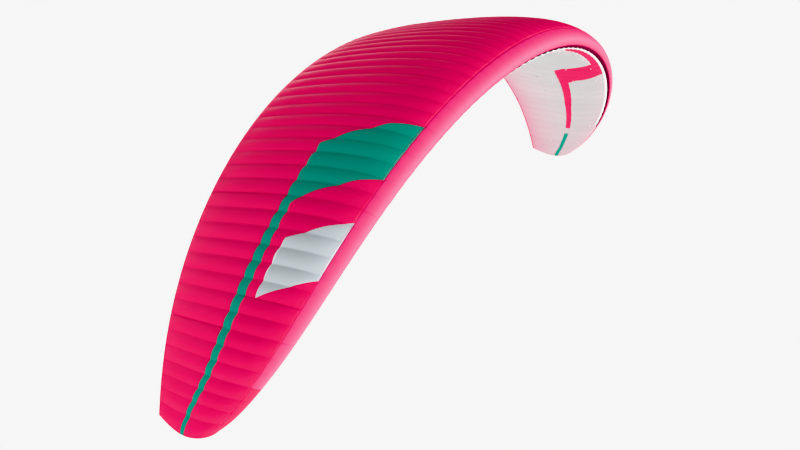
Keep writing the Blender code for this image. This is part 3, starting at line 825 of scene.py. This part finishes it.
def spread_group(name, as_curve):
    """Geometry Nodes group that sets one shape along a curve or on points that carry their own turn."""
    group = bpy.data.node_groups.new(name, "GeometryNodeTree")
    group.interface.new_socket("Geometry", in_out="INPUT", socket_type="NodeSocketGeometry")
    group.interface.new_socket("Shape", in_out="INPUT", socket_type="NodeSocketObject")
    group.interface.new_socket("Material", in_out="INPUT", socket_type="NodeSocketMaterial")
    group.interface.new_socket("Pitch", in_out="INPUT", socket_type="NodeSocketFloat")
    group.interface.new_socket("Geometry", in_out="OUTPUT", socket_type="NodeSocketGeometry")
    given = add_node(group, "NodeGroupInput").outputs
    shape = add_node(group, "GeometryNodeObjectInfo", {"Object": given["Shape"]}).outputs["Geometry"]
    if as_curve:
        curve = add_node(group, "GeometryNodeMeshToCurve", {"Mesh": given["Geometry"]}).outputs["Curve"]
        even = add_node(group, "GeometryNodeResampleCurve", {"Curve": curve, "Length": given["Pitch"]},
                        mode="LENGTH").outputs["Curve"]
        places = add_node(group, "GeometryNodeCurveToPoints", {"Curve": even}, mode="EVALUATED")
        points = places.outputs["Points"]
        turn = places.outputs["Rotation"]
    else:
        points = given["Geometry"]
        turn = add_node(group, "GeometryNodeInputNamedAttribute", {"Name": "turn"},
                        data_type="FLOAT_VECTOR").outputs["Attribute"]
    copies = add_node(group, "GeometryNodeInstanceOnPoints",
                      {"Points": points, "Instance": shape, "Rotation": turn})
    plain = add_node(group, "GeometryNodeRealizeInstances", {"Geometry": copies.outputs["Instances"]})
    dressed = add_node(group, "GeometryNodeSetMaterial", {"Geometry": plain.outputs["Geometry"],
                                                          "Material": given["Material"]})
    add_node(group, "NodeGroupOutput", {"Geometry": dressed.outputs["Geometry"]})
    return group


def spread(name, base_mesh, group, shape, material, nodes, pitch=1.0):
    """Bakes one shape, repeated by a node group, into a plain mesh that rides on the canopy."""
    carrier = bpy.data.objects.new(name + "_carrier", base_mesh)
    bpy.context.scene.collection.objects.link(carrier)
    maker = carrier.modifiers.new("spread", "NODES")
    maker.node_group = group
    for label, value in (("Shape", shape), ("Material", material), ("Pitch", pitch)):
        maker[group.interface.items_tree[label].identifier] = value
    depsgraph = bpy.context.evaluated_depsgraph_get()
    mesh = bpy.data.meshes.new_from_object(carrier.evaluated_get(depsgraph), depsgraph=depsgraph)
    bpy.data.objects.remove(carrier)
    mesh.materials.clear()
    piece = link_piece(name, mesh, material)
    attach(piece, "root")
    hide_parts(*nodes)


def seat_points(name, seats):
    """Points for loops at (station, chord fraction) on the lower face, each with the turn that raises it."""
    verts = []
    turns = []
    for rib, row in seats:
        station = np.array(float(rib))
        w = np.array(-math.sqrt(row))
        here = Vector(wing_point(station, w))
        along = (Vector(wing_point(station, w + AHEAD_STEP)) - here).normalized()
        out = Vector(wing_point(station, w, -SIDE_STEP)) - here
        out = (out - out.dot(along) * along).normalized()
        verts.append(here)
        turns.append(Matrix((along.cross(out), along, out)).transposed().to_euler())
    mesh = bpy.data.meshes.new(name)
    mesh.from_pydata(verts, [], [])
    flat = np.array([list(turn) for turn in turns], np.float32).ravel()
    mesh.attributes.new("turn", "FLOAT_VECTOR", "POINT").data.foreach_set("vector", flat)
    return mesh


loop_object = loop_shape()
on_points = spread_group("webbing_loops_on_seams", False)
# Bright white webbing, a dull coarse weave
webbing = nylon_sheet("white_webbing", "#ECECEA", "#D8D8D6")
for side_word, side_sign in SIDES:
    line_seats = [(stations_of(rib, rib, side_sign)[0], row) for rib in TAB_RIBS for row in TAB_ROWS]
    brake_seats = [(stations_of(rib, rib, side_sign)[0], BRAKE_ROW) for rib in BRAKE_RIBS]
    spread(f"line_loops_{side_word}", seat_points("line_seats", line_seats), on_points, loop_object, webbing,
           [f"lower_rear_{bay[0]}_panel_{side_word}" for bay in BAYS])
    spread(f"brake_loops_{side_word}", seat_points("brake_seats", brake_seats), on_points, loop_object,
           pink_tape, [f"upper_rear_{bay[0]}_panel_{side_word}" for bay in BAYS])


# Stitching
# Polyester thread in straight rows along the seams: two rows behind the nose seam, one along the hem tape
# on both faces, one along the intakes' white tape, and one beside each teal border.

# Real stitches are 3 mm long; they are drawn 14 mm so that they show as rows
STITCH_LENGTH = 0.014
STITCH_PITCH = 0.022
STITCH_RADIUS = 0.0006
STITCH_LIFT = 0.0003
STITCH_SIDES = 5
SEAM_ROW = 0.006
SEAM_ROWS_APART = 0.010
HEM_ROW = 0.6 * HEM_TAPE
LIP_ROW = 0.85 * LIP_TAPE


def stitch_shape():
    """One stitch: a short thread that lies along its row."""
    bm = bmesh.new()
    bmesh.ops.create_cone(bm, cap_ends=True, segments=STITCH_SIDES, radius1=STITCH_RADIUS,
                          radius2=STITCH_RADIUS, depth=STITCH_LENGTH)
    mesh = bpy.data.meshes.new("stitch")
    bm.to_mesh(mesh)
    bm.free()
    return bpy.data.objects.new("stitch", mesh)


def seam_paths(name, rows):
    """Edges on both sides along rows: (first rib, last rib, border, face, distance behind the border)."""
    verts = []
    edges = []
    for first, last, corners, face, distance in rows:
        for _, side in SIDES:
            stations = columns_between(*stations_of(first, last, side))
            t = border(corners, from_tip(stations)) + distance / chord_at(stations)
            run = wing_point(stations, face * np.sqrt(np.clip(t, 0, 1)), -STITCH_LIFT - TAPE / 2)
            start = len(verts)
            verts += run.tolist()
            edges += [(start + i, start + i + 1) for i in range(len(run) - 1)]
    mesh = bpy.data.meshes.new(name)
    mesh.from_pydata(verts, edges, [])
    return mesh


along_curve = spread_group("stitches_along_seams", True)
stitch_object = stitch_shape()
HEM_EDGE = ((0, 1.0), (CELLS, 1.0))
UPPER_ROWS = (
    (0, MIDDLE, NOSE_BORDER, 1, SEAM_ROW),
    (0, MIDDLE, NOSE_BORDER, 1, SEAM_ROW + SEAM_ROWS_APART),
    (0, MIDDLE, HEM_EDGE, 1, -HEM_ROW),
)
LOWER_ROWS = ((0, MIDDLE, HEM_EDGE, -1, -HEM_ROW),)
LIP_ROWS = ((CLOSED_CELLS + 1, MIDDLE, LIP_BORDER, -1, LIP_ROW),)
TEAL_ROWS = (
    (0, TEAL_REAR[-1][0], TEAL_REAR, 1, -SEAM_ROW),
    (0, TEAL_FRONT[-1][0], TEAL_FRONT, 1, SEAM_ROW),
)
pink_thread = nylon_sheet("pink_thread", "#EA1468", "#D60E5C")
white_thread = nylon_sheet("white_thread", "#F2F2F0", "#E4E4E2")
teal_thread = nylon_sheet("teal_thread", "#08A890", "#049680")
for thread_name, thread_rows, thread, thread_slot, seam_node in (
        ("upper_seam_stitches", UPPER_ROWS, pink_thread, "pink", "upper_rear_centre_panel"),
        ("lower_hem_stitches", LOWER_ROWS, pink_thread, "pink", "upper_rear_centre_panel"),
        ("intake_lip_stitches", LIP_ROWS, white_thread, "lining", "lower_rear_centre_panel"),
        ("teal_border_stitches", TEAL_ROWS, teal_thread, "teal", "upper_teal_insert_right")):
    spread(thread_name, seam_paths(thread_name, thread_rows), along_curve, stitch_object, thread,
           [seam_node], STITCH_PITCH)


# Floor, light and camera
# A plain pale studio floor far below the wing, lit by five wide soft sources low round it and none above.
# The camera stands where the photograph's stood, in front of the right tip and a little above it.

FLOOR_DROP = 20.0
FLOOR_SIZE = 1200.0
PHOTO_WIDTH = 800
PHOTO_FOCAL_PIXELS = 945.1
CAMERA_PLACE = (-10.604, -4.868, 2.324)
CAMERA_YAW = 1.0357
CAMERA_PITCH = -0.3811
CAMERA_ROLL = -0.0392
SENSOR = 36.0
CAMERA_REACH = 3000.0
FLOOR_GLOW = 0.72
FLOOR_ROUGHNESS = 0.9
FLOOR_GLOSS = 0.1
# Soft sources low round the wing: turn from straight ahead of it towards +X in degrees, and strength
SOURCES = ((0, 15.0), (20, 13.0), (135, 8.5), (180, 14.5), (250, 8.5))
SOURCE_RISE = math.radians(4)
SOURCE_FALL = 20.0


def make_floor():
    """A pale plane, lit a little from within so that it reads as the photograph's white ground."""
    mesh = bpy.data.meshes.new("studio_floor")
    half = FLOOR_SIZE / 2
    mesh.from_pydata([(-half, -half, -FLOOR_DROP), (half, -half, -FLOOR_DROP), (half, half, -FLOOR_DROP),
                      (-half, half, -FLOOR_DROP)], [], [(0, 1, 2, 3)])
    material = bpy.data.materials.new("white_studio_floor")
    material.use_nodes = True
    shader = material.node_tree.nodes["Principled BSDF"]
    shader.inputs["Base Color"].default_value = hex_colour("#F4F4F4")
    shader.inputs["Roughness"].default_value = FLOOR_ROUGHNESS
    shader.inputs["Specular IOR Level"].default_value = FLOOR_GLOSS
    shader.inputs["Emission Color"].default_value = (1.0, 1.0, 1.0, 1.0)
    shader.inputs["Emission Strength"].default_value = FLOOR_GLOW
    mesh.materials.append(material)
    floor = bpy.data.objects.new("studio_floor", mesh)
    bpy.context.scene.collection.objects.link(floor)


def make_camera():
    """The photograph's viewpoint, from its yaw, pitch and roll."""
    yaw, pitch, roll = CAMERA_YAW, CAMERA_PITCH, CAMERA_ROLL
    ahead = Vector((math.sin(yaw) * math.cos(pitch), math.cos(yaw) * math.cos(pitch), math.sin(pitch)))
    level = Vector((math.cos(yaw), -math.sin(yaw), 0.0))
    right = math.cos(roll) * level + math.sin(roll) * level.cross(ahead)
    up = right.cross(ahead)
    data = bpy.data.cameras.new("photo_camera")
    data.sensor_width = SENSOR
    data.lens = PHOTO_FOCAL_PIXELS / PHOTO_WIDTH * SENSOR
    data.clip_end = CAMERA_REACH
    camera = bpy.data.objects.new("photo_camera", data)
    turn = Matrix((right, up, -ahead)).transposed()
    camera.matrix_world = Matrix.Translation(CAMERA_PLACE) @ turn.to_4x4()
    bpy.context.scene.collection.objects.link(camera)
    bpy.context.scene.camera = camera


def make_world():
    """Soft light from low round the wing and none from above, which leaves each cell's upper flank dark."""
    world = bpy.data.worlds.new("soft_studio")
    world.use_nodes = True
    tree = world.node_tree
    background = tree.nodes["Background"]
    direction = add_node(tree, "ShaderNodeTexCoord").outputs["Generated"]
    light = 0.0
    for degrees, strength in SOURCES:
        turn = math.radians(degrees)
        aim = (math.sin(turn) * math.cos(SOURCE_RISE), -math.cos(turn) * math.cos(SOURCE_RISE),
               math.sin(SOURCE_RISE))
        facing = add_node(tree, "ShaderNodeVectorMath", {0: direction, 1: aim}, operation="DOT_PRODUCT")
        ahead = add_node(tree, "ShaderNodeMath", {0: facing.outputs["Value"], 1: 0.0}, operation="MAXIMUM")
        lobe = add_node(tree, "ShaderNodeMath", {0: ahead.outputs["Value"], 1: SOURCE_FALL},
                        operation="POWER").outputs["Value"]
        light = add_node(tree, "ShaderNodeMath", {0: lobe, 1: strength, 2: light},
                         operation="MULTIPLY_ADD").outputs["Value"]
    tree.links.new(light, background.inputs["Strength"])
    background.inputs["Color"].default_value = (1.0, 1.0, 1.0, 1.0)
    bpy.context.scene.world = world


make_floor()
make_world()
make_camera()
bpy.context.scene.view_settings.view_transform = "Khronos PBR Neutral"
